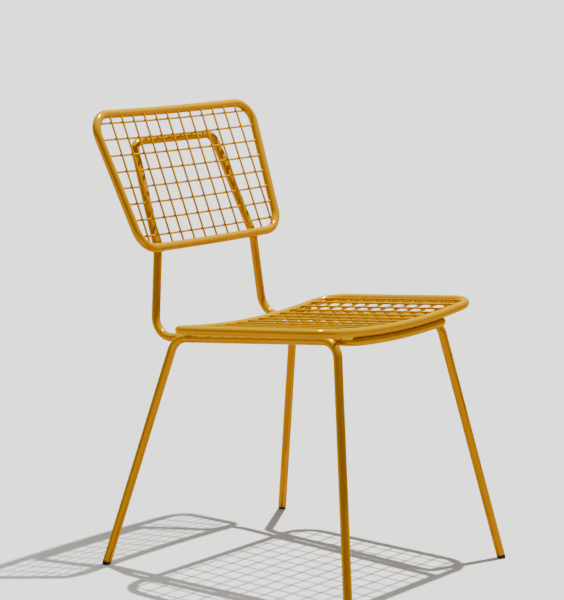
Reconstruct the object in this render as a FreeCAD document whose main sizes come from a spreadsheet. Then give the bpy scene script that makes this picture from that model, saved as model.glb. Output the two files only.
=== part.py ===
"""Side chair of bent steel tube, with welded wire mesh in its seat and its back.

Millimetres, +Z up, and the sitter looks towards -Y.  The origin is on the floor,
in the middle of the chair's width and of its depth.
"""
import FreeCAD, Part
import Sketcher
import math
import os

V = FreeCAD.Vector

doc = FreeCAD.newDocument("MeshChair")

# Driving sizes: alias, value in millimetres or degrees, and what it measures
SIZES = [
    ("tube_diameter", 16.0, "outside diameter of every bent tube"),
    ("tube_wall", 1.5, "wall of every bent tube"),
    ("wire_diameter", 4.0, "round wire of both meshes"),
    ("weld_gap", 0.25, "clear gap left at each weld"),
    ("rail_half_rear", 171.0, "side rail to the middle plane, at its rear corner"),
    ("rail_half_front", 150.3, "side rail to the middle plane, at its front corner"),
    ("rail_length", 350.8, "side rail from corner to corner, front to back"),
    ("rail_height_rear", 420.0, "side rail above the floor at its rear corner"),
    ("rail_height_front", 452.1, "side rail above the floor at its front corner"),
    ("leg_bend_radius", 33.0, "bend between a side rail and a leg"),
    ("foot_half_rear", 256.1, "rear foot to the middle plane"),
    ("rear_leg_reach", 98.3, "rear foot behind the side rail's rear corner"),
    ("front_leg_reach", 90.3, "front foot ahead of the side rail's front corner"),
    ("cap_height", 7.0, "foot cap below the end of its tube, along the leg"),
    ("cap_stem", 18.0, "foot cap's stem inside the tube"),
    ("cap_fit", 0.1, "clearance between a foot cap and its tube"),
    ("seat_half_width", 228.0, "seat ring's side rail to the middle plane"),
    ("seat_depth", 344.5, "seat ring from front rail to rear rail"),
    ("seat_rear", 141.5, "seat ring's rear rail behind the middle of the side rails"),
    ("seat_corner", 48.0, "seat ring's corner bend, from corner point to tangent"),
    ("seat_sag_front", 16.0, "dip of the seat ring's front rail"),
    ("seat_sag_rear", 16.0, "dip of the seat ring's rear rail"),
    ("seat_pitch_long", 31.8, "seat mesh, between front-to-back wires"),
    ("seat_pitch_cross", 30.0, "seat mesh, between cross wires"),
    ("seat_first_cross", 15.5, "first cross wire ahead of the rear rail"),
    ("back_half_top", 223.0, "back ring's top corner to the middle plane"),
    ("back_half_bottom", 193.6, "back ring's bottom corner to the middle plane"),
    ("back_height", 258.0, "back ring from bottom rail to top rail"),
    ("back_lean", 22.76, "back ring's lean, in degrees from upright"),
    ("back_bottom_rear", 230.5, "back ring's bottom rail behind the middle of the side rails"),
    ("back_bottom_height", 578.3, "back ring's bottom rail above the floor"),
    ("back_corner_top", 44.0, "back ring's top corner bend, from corner point to tangent"),
    ("back_corner_bottom", 37.0, "back ring's bottom corner bend, from corner point to tangent"),
    ("back_sag", 8.0, "hollow of the back ring's rails"),
    ("back_pitch_upright", 31.8, "back mesh, between upright wires"),
    ("back_pitch_cross", 31.0, "back mesh, between cross wires"),
    ("back_first_cross", 23.5, "first cross wire above the bottom rail"),
    ("mesh_margin", 15.0, "least distance from a wire to the rail or side beside it"),
    ("loop_bar_half", 111.5, "loop's top corner to the middle plane"),
    ("loop_bar_drop", 3.0, "loop's top bar below the cross wire that it backs"),
    ("loop_top_radius", 24.0, "loop's bends at its top bar"),
    ("loop_waist_radius", 90.0, "loop's bends behind the back ring's bottom rail"),
    ("loop_rear", 238.8, "loop's lower bends behind the middle of the side rails"),
    ("loop_heel_radius", 38.0, "loop's lower bends"),
    ("loop_side_gap", 3.0, "loop inside the line of the side rail, at its lower bends"),
    ("loop_front_setback", 4.0, "loop's front rail behind the seat ring's front rail"),
    ("loop_front_corner", 15.0, "loop's front bends, from corner point to tangent"),
    ("cut_overrun", 12.0, "how far a cutting or cut-off solid runs past its face"),
]

HALVINGS = 15           # steps in which a piece is moved up to its seat
SIDES = [("left", -1), ("right", 1)]

sheet = doc.addObject("Spreadsheet::Sheet", "Sizes")
for row, (alias, value, meaning) in enumerate(SIZES, start=1):
    sheet.set("A%d" % row, meaning)
    sheet.set("B%d" % row, str(value))
    sheet.setAlias("B%d" % row, alias)
doc.recompute()


def size(alias):
    """Value of a named cell of the sheet."""
    return float(getattr(sheet, alias))


tube_radius = size("tube_diameter") / 2
wire_radius = size("wire_diameter") / 2
tube_to_tube = size("tube_diameter") + size("weld_gap")
half_rail = size("rail_length") / 2


# Helpers for bent centre lines

def mirrored(point):
    """The same point on the other side of the middle plane."""
    return V(-point.x, point.y, point.z)


def direction(start, end):
    """Unit vector from start to end."""
    return (end - start).normalize()


def bend(before, corner, after, setback):
    """Arc that rounds a corner point, tangent at setback from it on both sides."""
    arriving = direction(before, corner)
    leaving = direction(corner, after)
    half_turn = arriving.getAngle(leaving) / 2
    radius = setback / math.tan(half_turn)
    inward = (leaving - arriving).normalize()
    middle = corner + inward * (radius / math.cos(half_turn) - radius)
    return Part.Arc(corner - arriving * setback, middle, corner + leaving * setback).toShape()


def setback_of(before, corner, after, radius):
    """Distance from a corner point to the tangent points of a bend of this radius."""
    return radius * math.tan(direction(before, corner).getAngle(direction(corner, after)) / 2)


def end_of(edge):
    return edge.valueAt(edge.LastParameter)


def start_of(edge):
    return edge.valueAt(edge.FirstParameter)


def joined(bends, closed):
    """Wire through the bends in order, with a straight wherever two bends stand apart."""
    edges = []
    for index, arc in enumerate(bends):
        edges.append(arc)
        if index + 1 == len(bends) and not closed:
            break
        following = bends[(index + 1) % len(bends)]
        if (start_of(following) - end_of(arc)).Length > size("weld_gap"):
            edges.append(Part.LineSegment(end_of(arc), start_of(following)).toShape())
    return Part.Wire(edges)


def closed_path(corners):
    """Closed centre line from (corner point, setback) pairs."""
    count = len(corners)
    bends = []
    for index, (corner, setback) in enumerate(corners):
        before = corners[index - 1][0]
        after = corners[(index + 1) % count][0]
        bends.append(bend(before, corner, after, setback))
    return joined(bends, True)


def settled(distance, wanted, tight, loose):
    """Place between tight and loose at which distance(place) has grown to wanted."""
    for _ in range(HALVINGS):
        middle = (tight + loose) / 2
        if distance(middle) < wanted:
            tight = middle
        else:
            loose = middle
    return loose


class Hollow:
    """Shallow bow of a rail or wire across the chair: an arc with straight, tangent ends.

    It is 0 deep at half_width from the middle plane and sag deep in the middle.
    """

    def __init__(self, half_width, sag, straight):
        self.half_width = half_width
        self.sag = sag
        self.slope = 2 * math.atan(sag / (half_width + straight))
        self.straight = straight
        self.radius = (half_width - straight * math.cos(self.slope)) / math.sin(self.slope)
        self.arc_half = self.radius * math.sin(self.slope)

    def depth(self, across):
        """Depth of the bow at a distance from the middle plane."""
        across = abs(across)
        if across > self.arc_half:
            return (self.half_width - across) * math.tan(self.slope)
        return self.sag - self.radius + math.sqrt(self.radius ** 2 - across ** 2)

    def inclination(self, across):
        """Slope angle of the bow at a distance from the middle plane."""
        return math.asin(min(abs(across), self.arc_half) / self.radius)

    def apex(self):
        """Depth at which the two straight ends would meet in the middle."""
        return self.half_width * math.tan(self.slope)

    def apex_setback(self):
        """Distance from that meeting point to the ends of the arc."""
        return self.half_width / math.cos(self.slope) - self.straight


class Panel:
    """Plane of a ring: across is +X, along runs from its first rail to its second."""

    def __init__(self, origin, along, deep):
        self.origin = origin
        self.along = along
        self.deep = deep

    def at(self, across, along, depth):
        return self.origin + V(across, 0, 0) + self.along * along + self.deep * depth


# Where the middle of the side rails lies, so that the chair's depth is centred on the origin

def foot_reach(leg):
    """How far a leg's round section at the floor reaches along Y from its centre."""
    return tube_radius * math.sqrt(1 - leg.x ** 2) / abs(leg.z)


def side_frame_points(middle):
    """Corner points of the right side frame: rear foot, rear top, front top, front foot."""
    rear_top = V(size("rail_half_rear"), middle + half_rail, size("rail_height_rear"))
    front_top = V(size("rail_half_front"), middle - half_rail, size("rail_height_front"))
    rear_foot = V(size("foot_half_rear"), rear_top.y + size("rear_leg_reach"), 0)
    flat = (front_top - rear_top).cross(rear_foot - rear_top)
    front_y = front_top.y - size("front_leg_reach")
    # The front foot is in the plane of the other three points
    from_top = flat.y * (front_y - rear_top.y) - flat.z * rear_top.z
    front_foot = V(rear_top.x - from_top / flat.x, front_y, 0)
    return [rear_foot, rear_top, front_top, front_foot]


lean = math.radians(size("back_lean"))
up_the_back = V(0, math.sin(lean), math.cos(lean))
behind_the_back = V(0, math.cos(lean), -math.sin(lean))
unshifted = side_frame_points(0)
front_reach = unshifted[3].y - foot_reach(direction(unshifted[3], unshifted[2]))
rear_reach = (size("back_bottom_rear") + up_the_back.y * size("back_height")
              + behind_the_back.y * size("back_sag") + tube_radius)
rail_middle = -(front_reach + rear_reach) / 2

# Side frames: rear leg, side rail and front leg in one flat bent tube
frame_points = side_frame_points(rail_middle)
rear_foot, rear_top, front_top, front_foot = frame_points
rear_leg_up = direction(rear_foot, rear_top)
front_leg_up = direction(front_foot, front_top)
rear_end = rear_foot + rear_leg_up * size("cap_height")
front_end = front_foot + front_leg_up * size("cap_height")
rear_setback = setback_of(rear_foot, rear_top, front_top, size("leg_bend_radius"))
front_setback = setback_of(rear_top, front_top, front_foot, size("leg_bend_radius"))
side_rail_path = Part.Wire([
    bend(rear_end, rear_top, front_top, rear_setback),
    Part.LineSegment(
        rear_top + direction(rear_top, front_top) * rear_setback,
        front_top - direction(rear_top, front_top) * front_setback,
    ).toShape(),
    bend(rear_top, front_top, front_end, front_setback),
])

# The frame's bend table, kept in the sheet below the driving sizes
rail_along = direction(rear_top, front_top)
BEND_TABLE = [
    ("rear_leg_straight", (rear_top - rear_end).Length - rear_setback),
    ("rail_straight", (front_top - rear_top).Length - rear_setback - front_setback),
    ("front_leg_straight", (front_top - front_end).Length - front_setback),
    ("rear_turn", math.degrees(rear_leg_up.getAngle(rail_along))),
    ("front_turn", math.degrees(rail_along.getAngle(front_leg_up * -1))),
]
for row, (alias, value) in enumerate(BEND_TABLE, start=len(SIZES) + 1):
    sheet.set("A%d" % row, "side frame's bend table")
    sheet.set("B%d" % row, repr(value))
    sheet.setAlias("B%d" % row, alias)
doc.recompute()


def origin_plane(body, role):
    """One of a body's own origin planes."""
    return [plane for plane in body.Origin.OriginFeatures if plane.Role == role][0]


def side_frame(name, place):
    """Flat bent tube: up the rear leg from the body's origin, along the rail, down the front leg."""
    body = doc.addObject("PartDesign::Body", name)
    path = body.newObject("Sketcher::SketchObject", name + "_path")
    path.AttachmentSupport = (origin_plane(body, "XY_Plane"), [""])
    path.MapMode = "FlatFace"
    heading = math.pi / 2
    pen = V(0, 0, 0)
    radius = size("leg_bend_radius")
    straights = ["rear_leg_straight", "rail_straight", "front_leg_straight"]
    turns = ["rear_turn", "front_turn"]
    lines = []
    arcs = []
    for step, straight in enumerate(straights):
        ahead = V(math.cos(heading), math.sin(heading), 0)
        tip = pen + ahead * size(straight)
        lines.append(path.addGeometry(Part.LineSegment(pen, tip), False))
        pen = tip
        if step < len(turns):
            turn = math.radians(size(turns[step]))
            centre = pen + V(ahead.y, -ahead.x, 0) * radius
            began = heading + math.pi / 2
            circle = Part.Circle(centre, V(0, 0, 1), radius)
            arcs.append(path.addGeometry(Part.ArcOfCircle(circle, began - turn, began), False))
            heading -= turn
            pen = centre + V(math.cos(began - turn), math.sin(began - turn), 0) * radius
    # A line's ends are points 1 and 2; an arc runs anticlockwise, so it is entered at its end 2
    path.addConstraint(Sketcher.Constraint("Coincident", lines[0], 1, -1, 1))
    path.addConstraint(Sketcher.Constraint("Vertical", lines[0]))
    for step, arc in enumerate(arcs):
        path.addConstraint(Sketcher.Constraint("Tangent", lines[step], 2, arc, 2))
        path.addConstraint(Sketcher.Constraint("Tangent", arc, 1, lines[step + 1], 1))
        bound(path, Sketcher.Constraint("Radius", arc, radius), "leg_bend_radius")
        between = math.pi - math.radians(size(turns[step]))
        bound(path, Sketcher.Constraint("Angle", lines[step], 2, lines[step + 1], 1, between), turns[step],
              "180 deg - %s * 1 deg")
    for line, straight in zip(lines, straights):
        bound(path, Sketcher.Constraint("Distance", line, size(straight)), straight)
    profile = body.newObject("Sketcher::SketchObject", name + "_section")
    profile.AttachmentSupport = (origin_plane(body, "XZ_Plane"), [""])
    profile.MapMode = "FlatFace"
    inner_radius = tube_radius - size("tube_wall")
    for circle_radius, formula in [(tube_radius, "%s / 2"), (inner_radius, "%s / 2 - Sizes.tube_wall")]:
        circle = profile.addGeometry(Part.Circle(V(0, 0, 0), V(0, 0, 1), circle_radius), False)
        profile.addConstraint(Sketcher.Constraint("Coincident", circle, 3, -1, 1))
        bound(profile, Sketcher.Constraint("Radius", circle, circle_radius), "tube_diameter", formula)
    doc.recompute()
    pipe = body.newObject("PartDesign::AdditivePipe", name + "_pipe")
    pipe.Profile = profile
    pipe.Spine = path
    body.Placement = place
    return body


def bound(sketch, constraint, alias, formula="%s"):
    """Add a constraint and bind its value to a cell of the sheet."""
    index = sketch.addConstraint(constraint)
    sketch.setExpression("Constraints[%d]" % index, formula % ("Sizes." + alias))


def frame_place(mirror):
    """Placement of a side frame's body: origin at the rear tube end, Y up the rear leg."""
    start, foot, top, front = [mirror(point) for point in (rear_end, rear_foot, rear_top, front_top)]
    up = direction(foot, top)
    ahead = direction(top, front)
    forward = (ahead - up * ahead.dot(up)).normalize()
    side = forward.cross(up)
    turned = FreeCAD.Matrix(
        forward.x, up.x, side.x, start.x,
        forward.y, up.y, side.y, start.y,
        forward.z, up.z, side.z, start.z,
        0, 0, 0, 1,
    )
    return FreeCAD.Placement(turned)


# Bent tubes and wires that leave one plane are swept along a path in space

def section_at(name, path, formula):
    """Circle across the start of a path, with its radius bound to the sheet."""
    first = path.Edges[0]
    circle = doc.addObject("Part::Circle", name)
    circle.setExpression("Radius", formula)
    heading = first.tangentAt(first.FirstParameter)
    circle.Placement = FreeCAD.Placement(start_of(first), FreeCAD.Rotation(V(0, 0, 1), heading))
    return circle


def swept(name, path, formula):
    """Round bar along a path."""
    spine = doc.addObject("Part::Feature", name + "_path")
    spine.Shape = path
    sweep = doc.addObject("Part::Sweep", name)
    sweep.Sections = [section_at(name + "_section", path, formula)]
    sweep.Spine = (spine, [])
    sweep.Solid = True
    sweep.Frenet = False
    return sweep


def tube(name, path):
    """Closed tube along a path, hollow all the way round."""
    outside = swept(name + "_outside", path, "Sizes.tube_diameter / 2")
    inside = swept(name + "_inside", path, "Sizes.tube_diameter / 2 - Sizes.tube_wall")
    hollow = doc.addObject("Part::Cut", name)
    hollow.Base = outside
    hollow.Tool = inside
    return hollow


def straight_wire(name, start, end):
    """Round wire from one point to another."""
    wire = doc.addObject("Part::Cylinder", name)
    wire.setExpression("Radius", "Sizes.wire_diameter / 2")
    wire.Height = (end - start).Length
    wire.Placement = FreeCAD.Placement(start, FreeCAD.Rotation(V(0, 0, 1), direction(start, end)))
    return wire


def clear_of(ring, point, heading):
    """Distance from a wire's end face, centred on a point, to a ring's centre line."""
    nearest = Part.Vertex(point).distToShape(ring)[1][0][1]
    sideways = nearest - point
    sideways -= heading * sideways.dot(heading)
    if sideways.Length > wire_radius:
        sideways = sideways.normalize() * wire_radius
    return Part.Vertex(point + sideways).distToShape(ring)[0]


def first_touch(distance, wanted, farthest):
    """Place, coming in from farthest towards 0, at which distance(place) first falls to wanted."""
    place = farthest
    while place > 0 and distance(place) >= wanted:
        place -= tube_radius
    return settled(distance, wanted, place, place + tube_radius)


def trimmed(ring, inner, outer):
    """Point between inner and outer where a wire's end face meets the ring's tube."""
    heading = direction(inner, outer)
    reach = (outer - inner).Length
    standoff = tube_radius + size("weld_gap")

    def nearness(left):
        return clear_of(ring, outer - heading * left, heading)

    return outer - heading * first_touch(nearness, standoff, reach / 2)


def bowed_wire_path(panel, hollow, along, layer, ring):
    """Centre line of a cross wire, trimmed where it meets the ring's two sides."""
    slope = hollow.slope
    tip_heading = (V(1, 0, 0) * math.cos(slope) - panel.deep * math.sin(slope)).normalize()

    def tip(left):
        across = hollow.half_width - left
        return panel.at(across, along, hollow.depth(across) + layer)

    def nearness(left):
        return clear_of(ring, tip(left), tip_heading)

    standoff = tube_radius + size("weld_gap")
    end = tip(first_touch(nearness, standoff, hollow.half_width / 2))
    middle = panel.at(0, along, hollow.sag + layer)
    if end.x <= hollow.arc_half:
        return Part.Wire([Part.Arc(mirrored(end), middle, end).toShape()])
    knee = panel.at(hollow.arc_half, along, hollow.depth(hollow.arc_half) + layer)
    return Part.Wire([
        Part.LineSegment(mirrored(end), mirrored(knee)).toShape(),
        Part.Arc(mirrored(knee), middle, knee).toShape(),
        Part.LineSegment(knee, end).toShape(),
    ])


def ring_corners(panel, length, first, second):
    """Corner points of a ring: right side up, second rail, left side down, first rail."""
    right_first = panel.at(first.half_width, 0, 0)
    right_second = panel.at(second.half_width, length, 0)
    return [
        (right_first, first.straight),
        (right_second, second.straight),
        (panel.at(0, length, second.apex()), second.apex_setback()),
        (mirrored(right_second), second.straight),
        (mirrored(right_first), first.straight),
        (panel.at(0, 0, first.apex()), first.apex_setback()),
    ]


def fitting(room, pitch):
    """How many wires at a pitch fit in a room."""
    return int(room / pitch) + 1


def rows(half_width, pitch):
    """Places of as many wires at a pitch as fit, evenly about the middle plane."""
    count = fitting(2 * (half_width - size("mesh_margin")), pitch)
    return [(index - (count - 1) / 2) * pitch for index in range(count)]


def steps(length, first, pitch):
    """Places of as many wires at a pitch as fit, from the first one up."""
    count = fitting(length - first - size("mesh_margin"), pitch)
    return [first + index * pitch for index in range(count)]


# Seat ring: parallel to the side rails that it rests on, dipped front and rear
rail_rise = size("rail_height_front") - size("rail_height_rear")
seat_rise = size("seat_depth") * rail_rise / size("rail_length")
seat_length = math.hypot(size("seat_depth"), seat_rise)
along_seat = V(0, -size("seat_depth"), seat_rise).normalize()
into_seat = V(0, -along_seat.z, along_seat.y)
seat_rear_bow = Hollow(size("seat_half_width"), size("seat_sag_rear"), size("seat_corner"))
seat_front_bow = Hollow(size("seat_half_width"), size("seat_sag_front"), size("seat_corner"))


def seat_panel(height):
    return Panel(V(0, rail_middle + size("seat_rear"), height), along_seat, into_seat)


def seat_path(height):
    panel = seat_panel(height)
    corners = ring_corners(panel, seat_length, seat_rear_bow, seat_front_bow)
    return closed_path(corners)


def long_wire(panel, across):
    """Centre points of a front-to-back wire over the ring's rear and front rails."""
    layer = -wire_radius - size("weld_gap") / 2
    rear = panel.at(across, 0, seat_rear_bow.depth(across) + layer)
    front = panel.at(across, seat_length, seat_front_bow.depth(across) + layer)
    return rear, front


def seat_over_rails(height):
    """Room between the side rails and the seat ring, or its front-to-back wires where these are nearer."""
    nearest = seat_path(height).distToShape(side_rail_path)[0]
    thinner_by = tube_radius - wire_radius
    for across in rows(size("seat_half_width"), size("seat_pitch_long")):
        wire = Part.LineSegment(*long_wire(seat_panel(height), across)).toShape()
        nearest = min(nearest, wire.distToShape(side_rail_path)[0] + thinner_by)
    return nearest


lowest = size("rail_height_rear")
highest = size("rail_height_front") + size("seat_sag_rear") + 2 * tube_to_tube
seat_height = settled(seat_over_rails, tube_to_tube, lowest, highest)
seat = seat_panel(seat_height)
seat_ring_path = seat_path(seat_height)

# Back ring: a wider top than bottom, hollowed towards the rear
back = Panel(
    V(0, rail_middle + size("back_bottom_rear"), size("back_bottom_height")),
    up_the_back,
    behind_the_back,
)
back_bottom_bow = Hollow(size("back_half_bottom"), size("back_sag"), size("back_corner_bottom"))
back_top_bow = Hollow(size("back_half_top"), size("back_sag"), size("back_corner_top"))
back_ring_path = closed_path(ring_corners(back, size("back_height"), back_bottom_bow, back_top_bow))


def back_bow(along):
    """Bow of the back mesh at a height along the back ring."""
    share = along / size("back_height")
    half = size("back_half_bottom") * (1 - share) + size("back_half_top") * share
    straight = size("back_corner_bottom") * (1 - share) + size("back_corner_top") * share
    return Hollow(half, size("back_sag"), straight)


# Support loop: top bar behind the back mesh, uprights, side runs inside the side rails, front rail
def side_rail_at(y):
    """Point of the right side rail's straight line at a depth."""
    share = (rear_top.y - y) / size("rail_length")
    return rear_top + (front_top - rear_top) * share


rail_plan = V(rail_along.x, rail_along.y, 0).normalize()
beside_rail = tube_to_tube / abs(rail_plan.y)
front_along = seat_length - size("loop_front_setback")
front_under = math.sqrt(tube_to_tube ** 2 - size("loop_front_setback") ** 2)
front_place = seat.at(0, front_along, seat_front_bow.sag + front_under)
loop_front_half = side_rail_at(front_place.y).x - beside_rail
# The loop's front rail has the radius of the seat ring's, so that the two lie along each other
corner_reach = math.hypot(seat_front_bow.radius, size("loop_front_corner"))
front_slope = (math.asin(loop_front_half / corner_reach)
               - math.atan(size("loop_front_corner") / seat_front_bow.radius))
front_sag = (loop_front_half + size("loop_front_corner")) * math.tan(front_slope / 2)
loop_front_bow = Hollow(loop_front_half, front_sag, size("loop_front_corner"))
front_side_depth = seat_front_bow.sag + front_under - front_sag
front_corner = seat.at(loop_front_half, front_along, front_side_depth)
front_apex = seat.at(0, front_along, front_side_depth + loop_front_bow.apex())

heel_y = rail_middle + size("loop_rear")
heel_half = side_rail_at(heel_y).x - beside_rail - size("loop_side_gap")


def run_under_seat(drop):
    """Distance from the loop's side run to the seat ring's rear rail."""
    heel = V(heel_half, heel_y, front_corner.z - drop)
    return Part.LineSegment(front_corner, heel).toShape().distToShape(seat_rear_edge)[0]


seat_rear_edge = Part.Arc(
    seat.at(-seat_rear_bow.arc_half, 0, seat_rear_bow.depth(seat_rear_bow.arc_half)),
    seat.at(0, 0, seat_rear_bow.sag),
    seat.at(seat_rear_bow.arc_half, 0, seat_rear_bow.depth(seat_rear_bow.arc_half)),
).toShape()
heel_drop = settled(run_under_seat, tube_to_tube, rail_rise / 2, rail_rise + 4 * tube_to_tube)
heel = V(heel_half, heel_y, front_corner.z - heel_drop)

back_steps = steps(size("back_height"), size("back_first_cross"), size("back_pitch_cross"))
bar_along = back_steps[-2] - size("loop_bar_drop")   # the second cross wire from the top
bar_standoff = tube_radius + wire_radius + size("weld_gap")
bar_depth = (size("back_sag") + wire_radius + size("weld_gap") / 2
             + math.sqrt(bar_standoff ** 2 - size("loop_bar_drop") ** 2))
bar_end = back.at(size("loop_bar_half"), bar_along, bar_depth)


def loop_corners(waist_depth):
    """Corner points of the support loop, from its right top corner down and round."""
    waist_point = back.at(0, 0, waist_depth)
    share = (bar_end.z - waist_point.z) / (bar_end.z - heel.z)
    waist = waist_point + V(bar_end.x * (1 - share) + heel.x * share, 0, 0)
    top_setback = setback_of(mirrored(bar_end), bar_end, waist, size("loop_top_radius"))
    waist_setback = setback_of(bar_end, waist, heel, size("loop_waist_radius"))
    heel_setback = setback_of(waist, heel, front_corner, size("loop_heel_radius"))
    right = [
        (bar_end, top_setback),
        (waist, waist_setback),
        (heel, heel_setback),
        (front_corner, size("loop_front_corner")),
    ]
    left = [(mirrored(point), setback) for point, setback in reversed(right)]
    return right + [(front_apex, loop_front_bow.apex_setback())] + left


def loop_behind_ring(waist_depth):
    """Distance from the loop's right waist bend to the back ring's centre line."""
    corners = [point for point, _ in loop_corners(waist_depth)]
    setback = loop_corners(waist_depth)[1][1]
    return bend(corners[0], corners[1], corners[2], setback).distToShape(back_ring_path)[0]


waist_depth = settled(loop_behind_ring, tube_to_tube, size("back_sag"), 3 * size("tube_diameter"))
loop_path = closed_path(loop_corners(waist_depth))

# Every sub-part of the chair, by name
parts = {}

for side, sign in SIDES:
    across = mirrored if sign < 0 else V
    parts["side_frame_" + side] = side_frame("side_frame_" + side, frame_place(across))

for name, path in [
    ("seat_ring", seat_ring_path),
    ("back_ring", back_ring_path),
    ("support_loop", loop_path),
]:
    parts[name] = tube(name, path)


def foot_cap(name, foot, up):
    """Cap on a leg's end: a head as wide as the tube, a stem inside it, cut flat at the floor."""
    turned = FreeCAD.Rotation(V(0, 0, 1), up)
    head = doc.addObject("Part::Cylinder", name + "_head")
    head.setExpression("Radius", "Sizes.tube_diameter / 2")
    head.setExpression("Height", "Sizes.cut_overrun + Sizes.cap_height - Sizes.cap_fit")
    head.Placement = FreeCAD.Placement(foot - up * size("cut_overrun"), turned)
    stem = doc.addObject("Part::Cylinder", name + "_stem")
    stem.setExpression("Radius", "Sizes.tube_diameter / 2 - Sizes.tube_wall - Sizes.cap_fit")
    stem.setExpression("Height", "Sizes.cap_height + Sizes.cap_stem")
    stem.Placement = FreeCAD.Placement(foot, turned)
    whole = doc.addObject("Part::Fuse", name + "_whole")
    whole.Base = head
    whole.Tool = stem
    floor = doc.addObject("Part::Box", name + "_floor")
    for edge in ("Length", "Width", "Height"):
        floor.setExpression(edge, "4 * Sizes.cut_overrun")
    half = 2 * size("cut_overrun")
    floor.Placement = FreeCAD.Placement(foot - V(half, half, 2 * half), FreeCAD.Rotation())
    cap = doc.addObject("Part::Cut", name)
    cap.Base = whole
    cap.Tool = floor
    return cap


for end, foot, up in [("rear", rear_foot, rear_leg_up), ("front", front_foot, front_leg_up)]:
    for side, sign in SIDES:
        name = "foot_cap_%s_%s" % (end, side)
        across = mirrored if sign < 0 else V
        parts[name] = foot_cap(name, across(foot), across(up))

# Seat mesh: front-to-back wires lie on the cross wires
for number, across in enumerate(rows(size("seat_half_width"), size("seat_pitch_long")), start=1):
    rear, front = long_wire(seat, across)
    name = "seat_long_wire_%02d" % number
    parts[name] = straight_wire(
        name,
        trimmed(seat_ring_path, front, rear),
        trimmed(seat_ring_path, rear, front),
    )

seat_steps = steps(seat_length, size("seat_first_cross"), size("seat_pitch_cross"))
for number, along in enumerate(seat_steps, start=1):
    share = along / seat_length
    sag = size("seat_sag_rear") * (1 - share) + size("seat_sag_front") * share
    bow = Hollow(size("seat_half_width"), sag, size("seat_corner"))
    name = "seat_cross_wire_%02d" % number
    path = bowed_wire_path(seat, bow, along, wire_radius + size("weld_gap") / 2, seat_ring_path)
    parts[name] = swept(name, path, "Sizes.wire_diameter / 2")

# Back mesh: upright wires in front, cross wires behind them
for number, across in enumerate(rows(size("back_half_bottom"), size("back_pitch_upright")), start=1):
    layer = -wire_radius - size("weld_gap") / 2
    bottom = back.at(across, 0, back_bottom_bow.depth(across) + layer)
    top = back.at(across, size("back_height"), back_top_bow.depth(across) + layer)
    name = "back_upright_wire_%02d" % number
    parts[name] = straight_wire(
        name,
        trimmed(back_ring_path, top, bottom),
        trimmed(back_ring_path, bottom, top),
    )

for number, along in enumerate(back_steps, start=1):
    name = "back_cross_wire_%02d" % number
    layer = wire_radius + size("weld_gap") / 2
    path = bowed_wire_path(back, back_bow(along), along, layer, back_ring_path)
    parts[name] = swept(name, path, "Sizes.wire_diameter / 2")

doc.recompute()

# Nothing is written unless every object is sound
for item in doc.Objects:
    if "Invalid" in item.State or "Error" in item.State:
        raise RuntimeError("%s did not build: %s" % (item.Name, item.State))
for name, item in parts.items():
    item.Label = name
    shape = item.Shape
    if shape.isNull() or not shape.isValid() or len(shape.Solids) != 1:
        raise RuntimeError("%s is not one sound solid" % name)

wall_area = math.pi * (tube_radius ** 2 - (tube_radius - size("tube_wall")) ** 2)
for name, path in [("seat_ring", seat_ring_path), ("back_ring", back_ring_path), ("support_loop", loop_path)]:
    expected = wall_area * path.Length
    print("%s: volume %.0f, section times length %.0f" % (name, parts[name].Shape.Volume, expected))

os.makedirs("parts", exist_ok=True)
for name, item in parts.items():
    item.Shape.exportStep("parts/%s.step" % name)
print("%d sub-parts written" % len(parts))
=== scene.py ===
"""Looks of a rigid side chair: bent steel tube, welded wire mesh and black foot caps.

Metres, +Z up, and the sitter looks towards -Y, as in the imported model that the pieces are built
around. Right is +X, as seen from the front. Each bar of the chair is drawn as it is bent: a circle
is extruded along the straights and spun round the bends. The runs of weld and the foot caps are
shaped by the same moves.
"""
from __future__ import annotations

import logging
import math
from dataclasses import astuple, dataclass, field, replace
from enum import Enum

import bpy
from mathutils import Matrix, Vector


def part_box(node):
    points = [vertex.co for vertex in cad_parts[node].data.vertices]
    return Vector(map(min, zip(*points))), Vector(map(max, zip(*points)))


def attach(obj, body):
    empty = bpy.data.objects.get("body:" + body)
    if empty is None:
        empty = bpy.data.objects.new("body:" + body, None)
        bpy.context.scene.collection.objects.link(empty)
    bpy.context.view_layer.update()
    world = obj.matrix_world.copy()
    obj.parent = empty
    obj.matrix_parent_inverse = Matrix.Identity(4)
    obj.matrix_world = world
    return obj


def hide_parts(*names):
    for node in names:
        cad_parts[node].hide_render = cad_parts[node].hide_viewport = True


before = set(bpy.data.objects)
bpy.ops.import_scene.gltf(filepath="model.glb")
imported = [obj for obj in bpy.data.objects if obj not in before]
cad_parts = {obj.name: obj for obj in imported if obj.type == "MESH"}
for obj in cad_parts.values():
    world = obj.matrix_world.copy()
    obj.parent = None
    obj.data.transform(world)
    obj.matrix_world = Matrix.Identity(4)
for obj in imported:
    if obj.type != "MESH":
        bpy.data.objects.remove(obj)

log = logging.getLogger("chair")

Colour = tuple[float, float, float, float]

BODY = "root"
ACROSS = Vector((1, 0, 0))
CLOSE = 1e-6
SEAM = 1e-5
SMOOTH_ANGLE = math.radians(40)
# Sockets of a Mix node that mixes colours
MIX_FIRST = 6
MIX_SECOND = 7
MIX_RESULT = 2


class Slot(Enum):
    """Material slots of the record."""

    PAINT = "frame_paint"
    PLASTIC = "foot_plastic"


# Centre lines


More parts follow.
